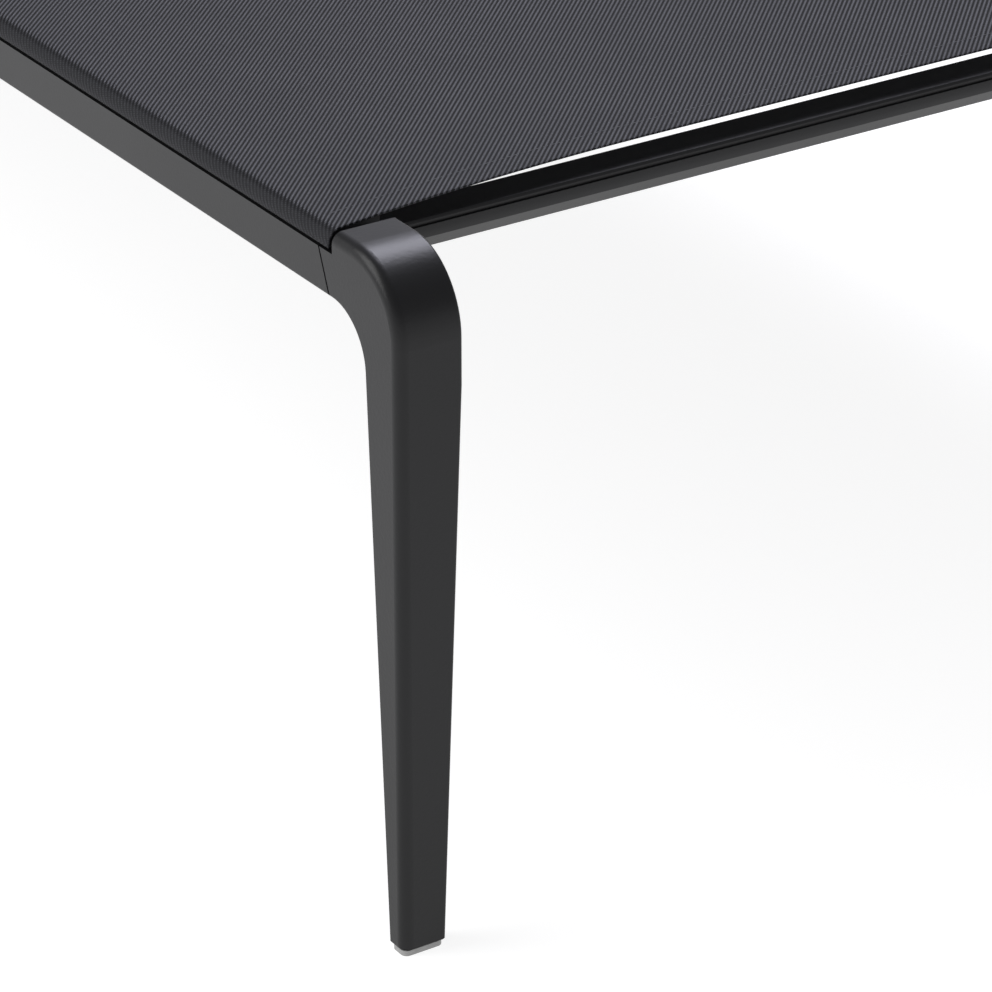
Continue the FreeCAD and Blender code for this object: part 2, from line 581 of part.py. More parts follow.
# ---------------------------------------------------------------- slings and their splines
def sling(name, outer, start, end):
    """Stretched fabric: it lies on both rails, wraps their beads and turns into the keder grooves.
    Both free ends are cut hollow, so the sling is shorter in the middle than along the rails."""
    body = new_body(name)
    lip = f"({outer} + keder_inset - spline_radius - sling_thickness)"
    high = f"({KEDER_Z} + keder_slot / 2 - sling_gap)"
    low = f"({high} - sling_thickness)"
    inside = f"({outer} + sling_thickness)"
    under = "(seat_height - sling_thickness)"
    left = [(lip, low), (outer, low), (outer, "seat_height")]
    back = [(inside, under), (inside, high), (lip, high)]
    right = [(f"(-{x})", z) for x, z in reversed(left)]
    forth = [(f"(-{x})", z) for x, z in reversed(back)]
    outline(body, "Pad", "XZ_Plane", left + right + forth + back, start, end)
    finish_edges(body, "Fillet", runs_along(1, (outer, "seat_height"), (f"-{outer}", "seat_height")),
                 f"{BEAD_RADIUS} + sling_gap + sling_thickness")
    finish_edges(body, "Fillet", runs_along(1, (inside, under), (f"-{inside}", under)),
                 f"{BEAD_RADIUS} + sling_gap")
    for edge_y, inward, away in ((start, "+", "-"), (end, "-", "+")):
        knee = (f"({outer} + waist_knee)", f"({edge_y} {inward} waist_knee_rise)")
        waist = (f"({outer} + waist_span)", f"({edge_y} {inward} sling_waist)")
        half = [(outer, f"({edge_y} {away} sling_waist)"), (outer, edge_y), knee, waist]
        outline(body, "Pocket", "XY_Plane", half + [(f"(-{x})", y) for x, y in reversed(half)],
                RAIL_BOTTOM, "(seat_height + keder_drop)")
    return body


def spline(name, outer, start, end):
    """The plastic rod that locks the sling's hem in the keder groove."""
    return solid_rod(name, "y", (f"{outer} + keder_inset", KEDER_Z), "spline_radius", start, end)


keep(sling("seat_sling", OUTER, f"({FRONT} + sling_end)", "seat_head_end"), "seat_sling")
keep_pair(spline("seat_spline", OUTER, f"({FRONT} + seam_top + seam_gap)",
                 "(seat_head_end - spline_setback)"), "seat_spline")

# ---------------------------------------------------------------- backrest frame
RAIL_START = f"({BACK_START} + cap_thickness)"
RAIL_END = f"({BACK_END} - cap_thickness)"
HOLLOW_OUTER = f"({BACK_OUTER} + keder_inset + keder_radius + wall)"
HOLLOW_INNER = f"({BACK_INNER} - wall)"
BACK_BARS_Y = {"bottom": f"({BACK_START} + back_bottom_inset)", "top": f"({BACK_END} - back_top_inset)"}

back_rail = keder_rail("backrest_rail_left", BACK_OUTER, "back_rail_width", "back_rail_height",
                       RAIL_START, RAIL_END)
outline(back_rail, "Pocket", "XZ_Plane",
        rectangle(HOLLOW_OUTER, HOLLOW_INNER, f"{BACK_BOTTOM} + wall", f"{RAIL_TOP} - wall"),
        RAIL_START, RAIL_END)
circles(back_rail, "Pocket", "YZ_Plane", [("hinge_y", PIVOT_Z), (STAY_PIVOT_Y, PIVOT_Z)],
        "pivot_radius + running_fit", BACK_OUTER, HOLLOW_OUTER)
circles(back_rail, "Pocket", "YZ_Plane", [(place, BAR_Z) for place in BACK_BARS_Y.values()],
        "screw_radius + screw_play", BACK_OUTER, BACK_INNER)
keep_pair(back_rail, "backrest_rail")

for place, middle in BACK_BARS_Y.items():
    outward = "+" if place == "top" else "-"
    keep(crossbar(f"backrest_{place}_bar", middle, BACK_INNER, outward), f"backrest_{place}_bar")
    stem = f"backrest_{place}_plug"
    tongue = bar_tongue(stem + "_solid", middle, BACK_INNER, f"{BACK_INNER} + plug_length")
    bore = screw_bore(stem + "_bore", "x", (middle, BAR_Z), BACK_INNER, f"{BACK_INNER} + plug_length")
    keep_pair(cut(stem, tongue, bore), stem)


def end_cap(name, face_y, inward):
    """Plastic cap on a backrest rail's end: a plate with the rail's outline and a tongue in its hollow."""
    body = new_body(name)
    inner_y = f"({face_y} {inward} cap_thickness)"
    tongue_y = f"({inner_y} {inward} cap_tongue)"
    plate = (face_y, inner_y) if inward == "+" else (inner_y, face_y)
    outline(body, "Pad", "XZ_Plane", rectangle(BACK_OUTER, BACK_INNER, BACK_BOTTOM, RAIL_TOP), *plate)
    finish_edges(body, "Fillet", runs_along(1, (BACK_OUTER, RAIL_TOP)), BEAD_RADIUS)
    finish_edges(body, "Fillet", runs_along(1, (BACK_INNER, RAIL_TOP)), "rail_top_radius")
    tongue = (inner_y, tongue_y) if inward == "+" else (tongue_y, inner_y)
    outline(body, "Pad", "XZ_Plane",
            rectangle(f"({HOLLOW_OUTER} + plug_fit)", f"({HOLLOW_INNER} - plug_fit)",
                      f"({BACK_BOTTOM} + wall + plug_fit)", f"({RAIL_TOP} - wall - plug_fit)"), *tongue)
    return body


keep_pair(end_cap("backrest_cap_bottom_left", BACK_START, "+"), "backrest_cap_bottom")
keep_pair(end_cap("backrest_cap_top_left", BACK_END, "-"), "backrest_cap_top")
BACK_SLING = (f"({RAIL_START} + back_sling_inset)", f"({RAIL_END} - back_sling_inset)")
keep(sling("back_sling", BACK_OUTER, *BACK_SLING), "back_sling")
keep_pair(spline("back_spline", BACK_OUTER, f"({BACK_SLING[0]} + spline_setback)",
                 f"({BACK_SLING[1]} - spline_setback)"), "back_spline")

# ---------------------------------------------------------------- backrest hinge
block = channel_block("pivot_block", "hinge_y", "pivot_block_length")
hinge = ("hinge_y", PIVOT_Z)
bore = solid_rod("pivot_block_bore", "x", hinge, "pivot_radius + running_fit", CHANNEL_BACK, INNER)
screw_hole = fitting_bore("pivot_block_screw_bore", "hinge_y + pivot_screw_offset")
keep_pair(cut("pivot_block_bored", block, bore, screw_hole), "pivot_block")
keep_pair(solid_rod("hinge_pin", "x", hinge, "pivot_radius", f"{CHANNEL_BACK} + 2 * fitting_gap",
                    f"{BACK_OUTER} + pin_grip"), "hinge_pin")
ring = solid_rod("hinge_spacer_ring", "x", hinge, "spacer_radius", f"{INNER} + spacer_slack", BACK_OUTER)
bore = solid_rod("hinge_spacer_bore", "x", hinge, "pivot_radius + running_fit", INNER, BACK_OUTER)
keep_pair(cut("hinge_spacer", ring, bore), "hinge_spacer")


# ---------------------------------------------------------------- stay: two arms, a foot tube, latch pins
def stay_arm(name):
    """Flat arm in the gap beside the backrest rail, with a lug at its foot for the stay tube."""
    body = new_body(name)
    low, high = f"({PIVOT_Z} - stay_half_height)", f"({PIVOT_Z} + stay_half_height)"
    lug = f"({PIVOT_Z} - stay_tube_drop - stay_tube_radius)"
    start = f"({STAY_PIVOT_Y} - stay_half_height)"
    end = f"({LATCH_Y} + stay_half_height)"
    lug_start = f"({LATCH_Y} - stay_half_height)"
    shoulder = f"({lug_start} - stay_half_height)"
    outline(body, "Pad", "YZ_Plane",
            [(start, low), (shoulder, low), (lug_start, lug), (end, lug), (end, high), (start, high)],
            STAY_OUTER, STAY_INNER)
    finish_edges(body, "Fillet", runs_along(0, (start, low), (start, high), (end, high)),
                 "stay_half_height - running_fit")
    finish_edges(body, "Fillet", runs_along(0, (end, lug), (lug_start, lug)), "stay_half_height / 2")
    circles(body, "Pocket", "YZ_Plane", [(STAY_PIVOT_Y, PIVOT_Z)], "pivot_radius + running_fit",
            STAY_OUTER, STAY_INNER)
    circles(body, "Pocket", "YZ_Plane", [(LATCH_Y, PIVOT_Z)], "latch_pin_radius + running_fit",
            STAY_OUTER, STAY_INNER)
    return body


keep_pair(stay_arm("stay_arm_left"), "stay_arm")
STAY_TUBE = (LATCH_Y, f"{PIVOT_Z} - stay_tube_drop")
tube = solid_rod("stay_tube_outside", "x", STAY_TUBE, "stay_tube_radius", STAY_INNER, f"-{STAY_INNER}")
hollow = solid_rod("stay_tube_inside", "x", STAY_TUBE, "stay_tube_radius - tube_wall", STAY_INNER,
                   f"-{STAY_INNER}")
keep(cut("stay_tube", tube, hollow), "stay_tube")
keep_pair(solid_rod("latch_pin", "x", (LATCH_Y, PIVOT_Z), "latch_pin_radius",
                    f"{CHANNEL_BACK} + 2 * fitting_gap", STAY_INNER), "latch_pin")
pin_rod = solid_rod("stay_pivot_rod", "x", (STAY_PIVOT_Y, PIVOT_Z), "pivot_radius",
                    f"{STAY_OUTER} - fitting_gap - rivet_head", f"{BACK_OUTER} + pin_grip")
pin_head = solid_rod("stay_pivot_head", "x", (STAY_PIVOT_Y, PIVOT_Z), "rivet_head_radius",
                     f"{STAY_OUTER} - fitting_gap - rivet_head", f"{STAY_OUTER} - fitting_gap")
keep_pair(join("stay_pivot_pin", pin_rod, pin_head), "stay_pivot_pin")


# ---------------------------------------------------------------- latch rack and rest block in the channel
def latch_rack(name):
    """Saw-tooth strip on the channel's floor. The latch pin rides up each ramp as the backrest is raised
    and drops behind the upright face, one face for each backrest angle."""
    body = new_body(name)
    root = f"({CHANNEL_FLOOR} + rack_base)"
    near = f"({RACK_FACES[-1]} - 2 * latch_pin_radius - rack_run_out)"
    far = f"({RACK_FACES[0]} + rack_ramp + rack_run_out)"
    corners = [(near, CHANNEL_FLOOR), (far, CHANNEL_FLOOR), (far, root)]
    for face in RACK_FACES:
        corners += [(f"({face} + rack_ramp)", root), (face, RACK_TIP), (face, root)]
    outline(body, "Pad", "YZ_Plane", corners + [(near, root)], f"({CHANNEL_BACK} + fitting_gap)",
            f"({INNER} - fitting_gap)")
    circles(body, "Pocket", "XY_Plane", [(CHANNEL_MIDDLE, place) for place in RACK_SCREWS],
            "screw_radius + screw_play", f"({CHANNEL_FLOOR} - wall)",
            f"({RAIL_BOTTOM} + fitting_screw_length + fitting_gap)")
    return body


keep_pair(latch_rack("latch_rack_left"), "latch_rack")
block = channel_block("rest_block_body", REST_Y, "rest_block_length")
lug_top = f"({BACK_BOTTOM} - fitting_gap)"
lug = solid_box("rest_block_lug", [
    (f"{INNER} - wall", f"{INNER} + rest_reach"),
    (f"{REST_Y} - rest_block_length / 2", f"{REST_Y} + rest_block_length / 2"),
    (f"{lug_top} - rest_lug", lug_top)])
rest_block = cut("rest_block", join("rest_block_solid", block, lug), fitting_bore("rest_block_bore", REST_Y))
keep_pair(rest_block, "rest_block")

# ---------------------------------------------------------------- screws, one sub-part for each kind
BOTH = ("", "-")
keep(group("leg_screws", [screw("leg_screw", "z", (side + LEG_SCREW_X, end + LEG_SCREW_Y), RAIL_BOTTOM,
                                "leg_screw_length") for side in BOTH for end in BOTH]), "leg_screws")
keep(group("fitting_screws", [screw("fitting_screw", "z", (side + CHANNEL_MIDDLE, place), RAIL_BOTTOM,
                                    "fitting_screw_length") for side in BOTH for place in FITTINGS_Y]),
     "fitting_screws")
back_screws = []
for place in BACK_BARS_Y.values():
    back_screws.append(screw("back_screw", "x", (place, BAR_Z), BACK_OUTER, "back_screw_length"))
    back_screws.append(screw("back_screw", "x", (place, BAR_Z), f"(-{BACK_OUTER})", "back_screw_length", -1))
keep(group("backrest_screws", back_screws), "backrest_screws")

# ---------------------------------------------------------------- checks and files
doc.recompute()
for thing in doc.Objects:
    if "Invalid" in thing.State or "Error" in thing.State:
        raise RuntimeError(f"{thing.Name} failed: {thing.State}")
os.makedirs("parts", exist_ok=True)
for thing in subparts:
    if thing.Shape.isNull() or not thing.Shape.isValid():
        raise RuntimeError(f"{thing.Label} has no valid shape")
    thing.Shape.exportStep(f"parts/{thing.Label}.step")
print(f"{len(subparts)} sub-parts written")
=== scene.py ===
from math import pi

import bpy
import numpy as np
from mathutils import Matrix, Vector


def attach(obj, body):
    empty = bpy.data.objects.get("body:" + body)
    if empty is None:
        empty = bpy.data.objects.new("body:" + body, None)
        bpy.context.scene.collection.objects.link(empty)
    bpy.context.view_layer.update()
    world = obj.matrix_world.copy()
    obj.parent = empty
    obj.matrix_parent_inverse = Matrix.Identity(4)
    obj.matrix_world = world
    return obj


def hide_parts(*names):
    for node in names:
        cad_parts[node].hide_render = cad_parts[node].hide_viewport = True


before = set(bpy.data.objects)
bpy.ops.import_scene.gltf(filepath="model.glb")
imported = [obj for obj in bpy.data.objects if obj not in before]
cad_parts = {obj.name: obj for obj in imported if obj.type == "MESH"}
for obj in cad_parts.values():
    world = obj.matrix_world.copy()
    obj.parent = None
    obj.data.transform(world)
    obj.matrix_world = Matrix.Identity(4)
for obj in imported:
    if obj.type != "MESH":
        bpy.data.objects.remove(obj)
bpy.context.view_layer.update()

# ---- The studio -------------------------------------------------------------------------------------------
# A seamless pale floor, which glows so that it stays even, under grey walls. One large softbox hangs over the
# bed and a wider one lights the floor on the left. The camera is a long lens, low over the foot end.
scene = bpy.context.scene
scene.view_settings.view_transform = "Standard"

lens_place = Vector((-1.3000, -2.5259, 1.1286))
lens_aim = Vector((0.4896, 0.7482, -0.4478))
lens = bpy.data.cameras.new("lens")
lens.lens = 173.54
lens.sensor_width = 36
camera = bpy.data.objects.new("camera", lens)
camera.location = lens_place
camera.rotation_euler = lens_aim.to_track_quat("-Z", "Y").to_euler()
scene.collection.objects.link(camera)
scene.camera = camera


def softbox(name, place, aim, size, radiance, colour):
    """A square area light at place, turned towards aim: power is pi times its area times its radiance."""
    light = bpy.data.lights.new(name, "AREA")
    light.size = size
    light.energy = pi * size ** 2 * radiance
    light.color = colour
    lamp = bpy.data.objects.new(name, light)
    lamp.location = place
    lamp.rotation_euler = (Vector(aim) - Vector(place)).to_track_quat("-Z", "Y").to_euler()
    lamp.visible_camera = False
    scene.collection.objects.link(lamp)


softbox("overhead_softbox", (0.66, -0.06, 1.95), (-0.33, -0.98, 0.32), 0.92, 12.4, (0.88, 0.88, 1.0))
softbox("floor_softbox", (-1.9, -0.1, 1.3), (-0.9, 0.1, 0.0), 1.5, 4.4, (1.0, 1.0, 1.0))

# The walls are pale up to a little above the bed and fall off to a dim ceiling, so that the coat's rounded
# edges read dark between the lit floor and the softbox.
walls = bpy.data.worlds.new("walls")
walls.use_nodes = True
wall_nodes = walls.node_tree.nodes
wall_way = wall_nodes.new("ShaderNodeTexCoord")
wall_split = wall_nodes.new("ShaderNodeSeparateXYZ")
wall_fade = wall_nodes.new("ShaderNodeMapRange")
wall_fade.interpolation_type = "SMOOTHSTEP"
for socket, value in {"From Min": 0.10, "From Max": 0.30, "To Min": 0.95, "To Max": 0.34}.items():
    wall_fade.inputs[socket].default_value = value
walls.node_tree.links.new(wall_way.outputs["Generated"], wall_split.inputs[0])
walls.node_tree.links.new(wall_split.outputs["Z"], wall_fade.inputs["Value"])
walls.node_tree.links.new(wall_fade.outputs[0], wall_nodes["Background"].inputs["Strength"])
wall_nodes["Background"].inputs["Color"].default_value = (0.97, 0.97, 1.0, 1.0)
scene.world = walls

floor_reach = 9.0
floor_height = -0.0002
floor_mesh = bpy.data.meshes.new("floor")
floor_mesh.from_pydata([(across * floor_reach, along * floor_reach, floor_height)
                        for across, along in ((-1, -1), (1, -1), (1, 1), (-1, 1))], [], [(0, 1, 2, 3)])
floor = bpy.data.objects.new("floor", floor_mesh)
floor_paper = bpy.data.materials.new("floor_paper")
floor_paper.use_nodes = True
paper_surface = floor_paper.node_tree.nodes["Principled BSDF"]
paper_surface.inputs["Base Color"].default_value = (0.36, 0.36, 0.36, 1)
paper_surface.inputs["Roughness"].default_value = 0.9
paper_surface.inputs["Specular IOR Level"].default_value = 0.0
paper_surface.inputs["Emission Color"].default_value = (1, 1, 1, 1)
paper_surface.inputs["Emission Strength"].default_value = 0.84
floor_mesh.materials.append(floor_paper)
scene.collection.objects.link(floor)


# ---- Glides -----------------------------------------------------------------------------------------------
# A pale grey polyethylene plug pushed into each leg's open foot. Moulded with a fine spark-eroded grain.
class Reading:
    """A node's output that takes Python arithmetic: each sum or product adds one Math node."""

    def __init__(self, finish, socket):
        self.finish = finish
        self.socket = socket

    def math(self, operation, *terms):
        return self.finish.node("ShaderNodeMath", {"operation": operation}, dict(enumerate(terms)))

    def __add__(self, other):
        return self.math("ADD", self, other)

    def __radd__(self, other):
        return self.math("ADD", other, self)

    def __sub__(self, other):
        return self.math("SUBTRACT", self, other)

    def __rsub__(self, other):
        return self.math("SUBTRACT", other, self)

    def __mul__(self, other):
        return self.math("MULTIPLY", self, other)

    def __rmul__(self, other):
        return self.math("MULTIPLY", other, self)

    def __truediv__(self, other):
        return self.math("DIVIDE", self, other)

    def through(self, operation):
        """This reading put through a Math node that takes one value."""
        return self.math(operation, self)


class Finish:
    """One material: a Principled surface whose fixed values are set here and whose inputs take readings."""

    def __init__(self, name, colour, roughness, **fixed):
        self.material = bpy.data.materials.new(name)
        self.material.use_nodes = True
        self.tree = self.material.node_tree
        self.surface = self.tree.nodes["Principled BSDF"]
        self.surface.inputs["Base Color"].default_value = (*colour, 1)
        self.surface.inputs["Roughness"].default_value = roughness
        for socket, value in fixed.items():
            self.surface.inputs[socket.replace("_", " ")].default_value = value

    def node(self, kind, settings=None, inputs=None, output=0):
        """Adds a node of this kind, makes its settings, feeds its sockets and gives one of its outputs."""
        made = self.tree.nodes.new(kind)
        for setting, value in (settings or {}).items():
            setattr(made, setting, value)
        for socket, value in (inputs or {}).items():
            self.feed(made.inputs[socket], value)
        return Reading(self, made.outputs[output])

    def feed(self, socket, value):
        if isinstance(value, Reading):
            self.tree.links.new(value.socket, socket)
        else:
            socket.default_value = value

    def place(self):
        return self.node("ShaderNodeTexCoord", output="Object")

    def noise(self, place, scale, detail=2.0, roughness=0.5):
        """Cloudy variation from 0 to 1, scale times a metre."""
        return self.node("ShaderNodeTexNoise", {},
                         {"Vector": place, "Scale": scale, "Detail": detail, "Roughness": roughness})

    def blend_colours(self, share, first, second):
        return self.node("ShaderNodeMix", {"data_type": "RGBA"},
                         {"Factor": share, 6: (*first, 1), 7: (*second, 1)}, output=2)

    def relief(self, height, depth):
        """Raises the surface by height times depth, in metres."""
        bump = self.node("ShaderNodeBump", {}, {"Height": height, "Distance": depth, "Strength": 1.0},
                         output="Normal")
        self.feed(self.surface.inputs["Normal"], bump)


def dress(material, *nodes):
    """Gives these CAD nodes this material in every slot."""
    for node in nodes:
        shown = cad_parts[node]
        shown.data.materials.clear()
        shown.data.materials.append(material)


sides = ("left", "right")
ends = ("foot", "head")
corners = [f"{end}_{side}" for end in ends for side in sides]

glide_plastic = Finish("glide_plastic", (0.3, 0.3, 0.3), 0.5, IOR=1.5)
glide_place = glide_plastic.place()
glide_scuff = glide_plastic.noise(glide_place, 260.0, 4.0, 0.6)
glide_plastic.feed(glide_plastic.surface.inputs["Base Color"],
                   glide_plastic.blend_colours(glide_scuff, (0.25, 0.25, 0.245), (0.36, 0.36, 0.355)))
glide_plastic.feed(glide_plastic.surface.inputs["Roughness"], 0.42 + 0.2 * glide_scuff)
glide_plastic.relief(glide_plastic.noise(glide_place, 1800.0), 0.00004)
dress(glide_plastic.material, *[f"glide_{corner}" for corner in corners])


# ---- Cast corner legs -------------------------------------------------------------------------------------
# Gravity-cast aluminium: a short arm, a bend and a tapered leg in one piece. It is blasted, then powder
# coated in satin anthracite, which leaves a fine orange peel and rounds every edge a little.
def powder_coat(name, colour, peel, peel_depth):
    """A satin coat: peel is how many grains to a metre, and the cloudiness below it is a hand wide."""
    coat = Finish(name, colour, 0.34, IOR=1.36)
    where = coat.place()
    cloud = coat.noise(where, 9.0, 3.0, 0.55)
    dusty = tuple(1.14 * channel for channel in colour)
    deep = tuple(0.86 * channel for channel in colour)
    coat.feed(coat.surface.inputs["Base Color"], coat.blend_colours(cloud, deep, dusty))
    coat.feed(coat.surface.inputs["Roughness"], 0.31 + 0.10 * cloud)
    grain = coat.noise(where, peel, 1.0) + 0.45 * coat.noise(where, 3.1 * peel, 1.0)
    coat.relief(grain, peel_depth)
    return coat.material


cast_coat = powder_coat("cast_leg_coating", (0.0066, 0.0067, 0.0074), 520.0, 0.00004)
dress(cast_coat, *[f"leg_{corner}" for corner in corners])


# ---- Side rails, crossbars and their connectors -----------------------------------------------------------
# Extruded aluminium tube in the same coat, smoother than the castings, on die-cast connector blocks that
# are screwed into the rails' channels.
rail_coat = powder_coat("frame_coating", (0.0066, 0.0067, 0.0072), 780.0, 0.000025)
dress(rail_coat, *[f"side_rail_{side}" for side in sides])
dress(rail_coat, "crossbar_foot", "crossbar_hinge", "crossbar_head")
dress(rail_coat, *[f"crossbar_connector_{bar}_{side}" for bar in ("foot", "hinge", "head") for side in sides])


# ---- Spreader ---------------------------------------------------------------------------------------------
# A round tube hung below the seat on two flat hangers, which keeps the stretched seat from pulling the
# rails together. Coated with the frame.
dress(rail_coat, "spreader_tube", "spreader_hanger_left", "spreader_hanger_right")


# ---- Pivot blocks, latch racks and rest blocks ------------------------------------------------------------
# Glass-filled nylon mouldings in the rails' channels: the hinge's bearings, the toothed racks that the
# stay's pins drop into, and the lugs that the lowered backrest lies on.
nylon = Finish("black_plastic", (0.018, 0.018, 0.019), 0.46, IOR=1.5)
nylon_place = nylon.place()
nylon_flow = nylon.noise(nylon_place, 120.0, 3.0)
nylon.feed(nylon.surface.inputs["Base Color"],
           nylon.blend_colours(nylon_flow, (0.014, 0.014, 0.015), (0.023, 0.023, 0.024)))
nylon.feed(nylon.surface.inputs["Roughness"], 0.40 + 0.14 * nylon_flow)
nylon.relief(nylon.noise(nylon_place, 2600.0, 1.0), 0.00003)
dress(nylon.material, *[f"{block}_{side}" for side in sides
                        for block in ("pivot_block", "latch_rack", "rest_block", "hinge_spacer")])


# ---- Backrest frame and stay ------------------------------------------------------------------------------
# A lighter ladder of the same extrusion nests between the side rails and turns on two pins. Its stay, two
# flat arms on a round foot tube, props it up. Moulded plugs and caps close the tube ends.
dress(rail_coat, *[f"backrest_rail_{side}" for side in sides])
dress(rail_coat, "backrest_bottom_bar", "backrest_top_bar", "stay_arm_left", "stay_arm_right", "stay_tube")
dress(nylon.material, *[f"backrest_{part}_{side}" for side in sides
                        for part in ("bottom_plug", "top_plug", "cap_bottom", "cap_top")])


# ---- Pins and screws --------------------------------------------------------------------------------------
# Turned and cold-headed stainless steel, left bare. The turning leaves fine rings round each shank.
steel = Finish("stainless_steel", (0.55, 0.55, 0.56), 0.3, Metallic=1.0)
steel_place = steel.place()
steel_stretch = steel.node("ShaderNodeMapping", {}, {"Vector": steel_place, "Scale": (14000.0, 60.0, 60.0)})
steel_rings = steel.noise(steel_stretch, 1.0, 2.0)
steel.feed(steel.surface.inputs["Roughness"], 0.24 + 0.16 * steel_rings)
steel.feed(steel.surface.inputs["Base Color"],
           steel.blend_colours(steel_rings, (0.50, 0.50, 0.51), (0.60, 0.60, 0.61)))
steel.relief(steel_rings, 0.000006)
dress(steel.material, "leg_screws", "fitting_screws", "backrest_screws")
dress(steel.material, *[f"{pin}_{side}" for side in sides
                        for pin in ("hinge_pin", "stay_pivot_pin", "latch_pin")])


# ---- Splines ----------------------------------------------------------------------------------------------
# Extruded plastic rods, slid into the rails' grooves to lock the sling's hems. They stay in the dark.
rod_plastic = Finish("spline_plastic", (0.05, 0.05, 0.05), 0.45, IOR=1.5)
rod_place = rod_plastic.place()
rod_plastic.feed(rod_plastic.surface.inputs["Roughness"], 0.38 + 0.16 * rod_plastic.noise(rod_place, 400.0))
dress(rod_plastic.material, *[f"{part}_spline_{side}" for part in ("seat", "back") for side in sides])


# ---- Seat sling -------------------------------------------------------------------------------------------
# Coated polyester yarn in a charcoal twill, cut wider than the bed: each long edge goes over the rail's
# round bead and down into its groove. Both free ends are cut hollow, folded under and stitched.
# The hem lies hem_drop under the cloth, its seam is hem_seam inside its edge, and roll_start is how far in
# from the end the fold's half circle begins.
cloth_thickness = 0.0005
bead_turn = 0.00675
hem_width = 0.0155
hem_drop = 0.00056
hem_seam = 0.0012
roll_start = 0.0006


def across_sling(outer):
    """The sling's middle line over one half, from inside the groove to the centre line: a short run out of
    the groove, a tight turn, an arc round the bead, then a flat run. Gives x, z and the length so far."""
    run = np.linspace(0.0, 1.0, 4)[:-1]
    bead_x = -outer + 0.007
    bead_z = 0.3230
    start = np.radians(188.0)
    lip_x = bead_x + bead_turn * np.cos(start)
    groove_z = 0.32215
    inner_x = bead_x + 0.0005
    out_x = np.concatenate([inner_x + run * (lip_x + 0.0006 - inner_x), [lip_x + 0.00022]])
    out_z = np.concatenate([np.full(run.size, groove_z), [groove_z + 0.00012]])
    bend = np.linspace(start, np.radians(90.0), 15)
    arc_x = bead_x + bead_turn * np.cos(bend)
    arc_z = bead_z + bead_turn * np.sin(bend)
    reach = np.linspace(0.0, 1.0, 46)[1:]
    flat_x = bead_x * (1.0 - 0.30 * reach - 0.70 * reach ** 1.7)
    flat_z = np.full(flat_x.size, bead_z + bead_turn)
    x = np.concatenate([out_x, arc_x, flat_x])
    z = np.concatenate([out_z, arc_z, flat_z])
    step = np.hypot(np.diff(x), np.diff(z))
    return x, z, np.concatenate([[0.0], np.cumsum(step)])


def hollow(x, outer):
    """How far a free end is cut back at x: a parabola from the edge to 178 mm in, level from there."""
    inward = np.clip((outer - np.abs(x)) / 0.178, 0.0, 1.0)
    return 0.0145 * (1.0 - (1.0 - inward) ** 2)


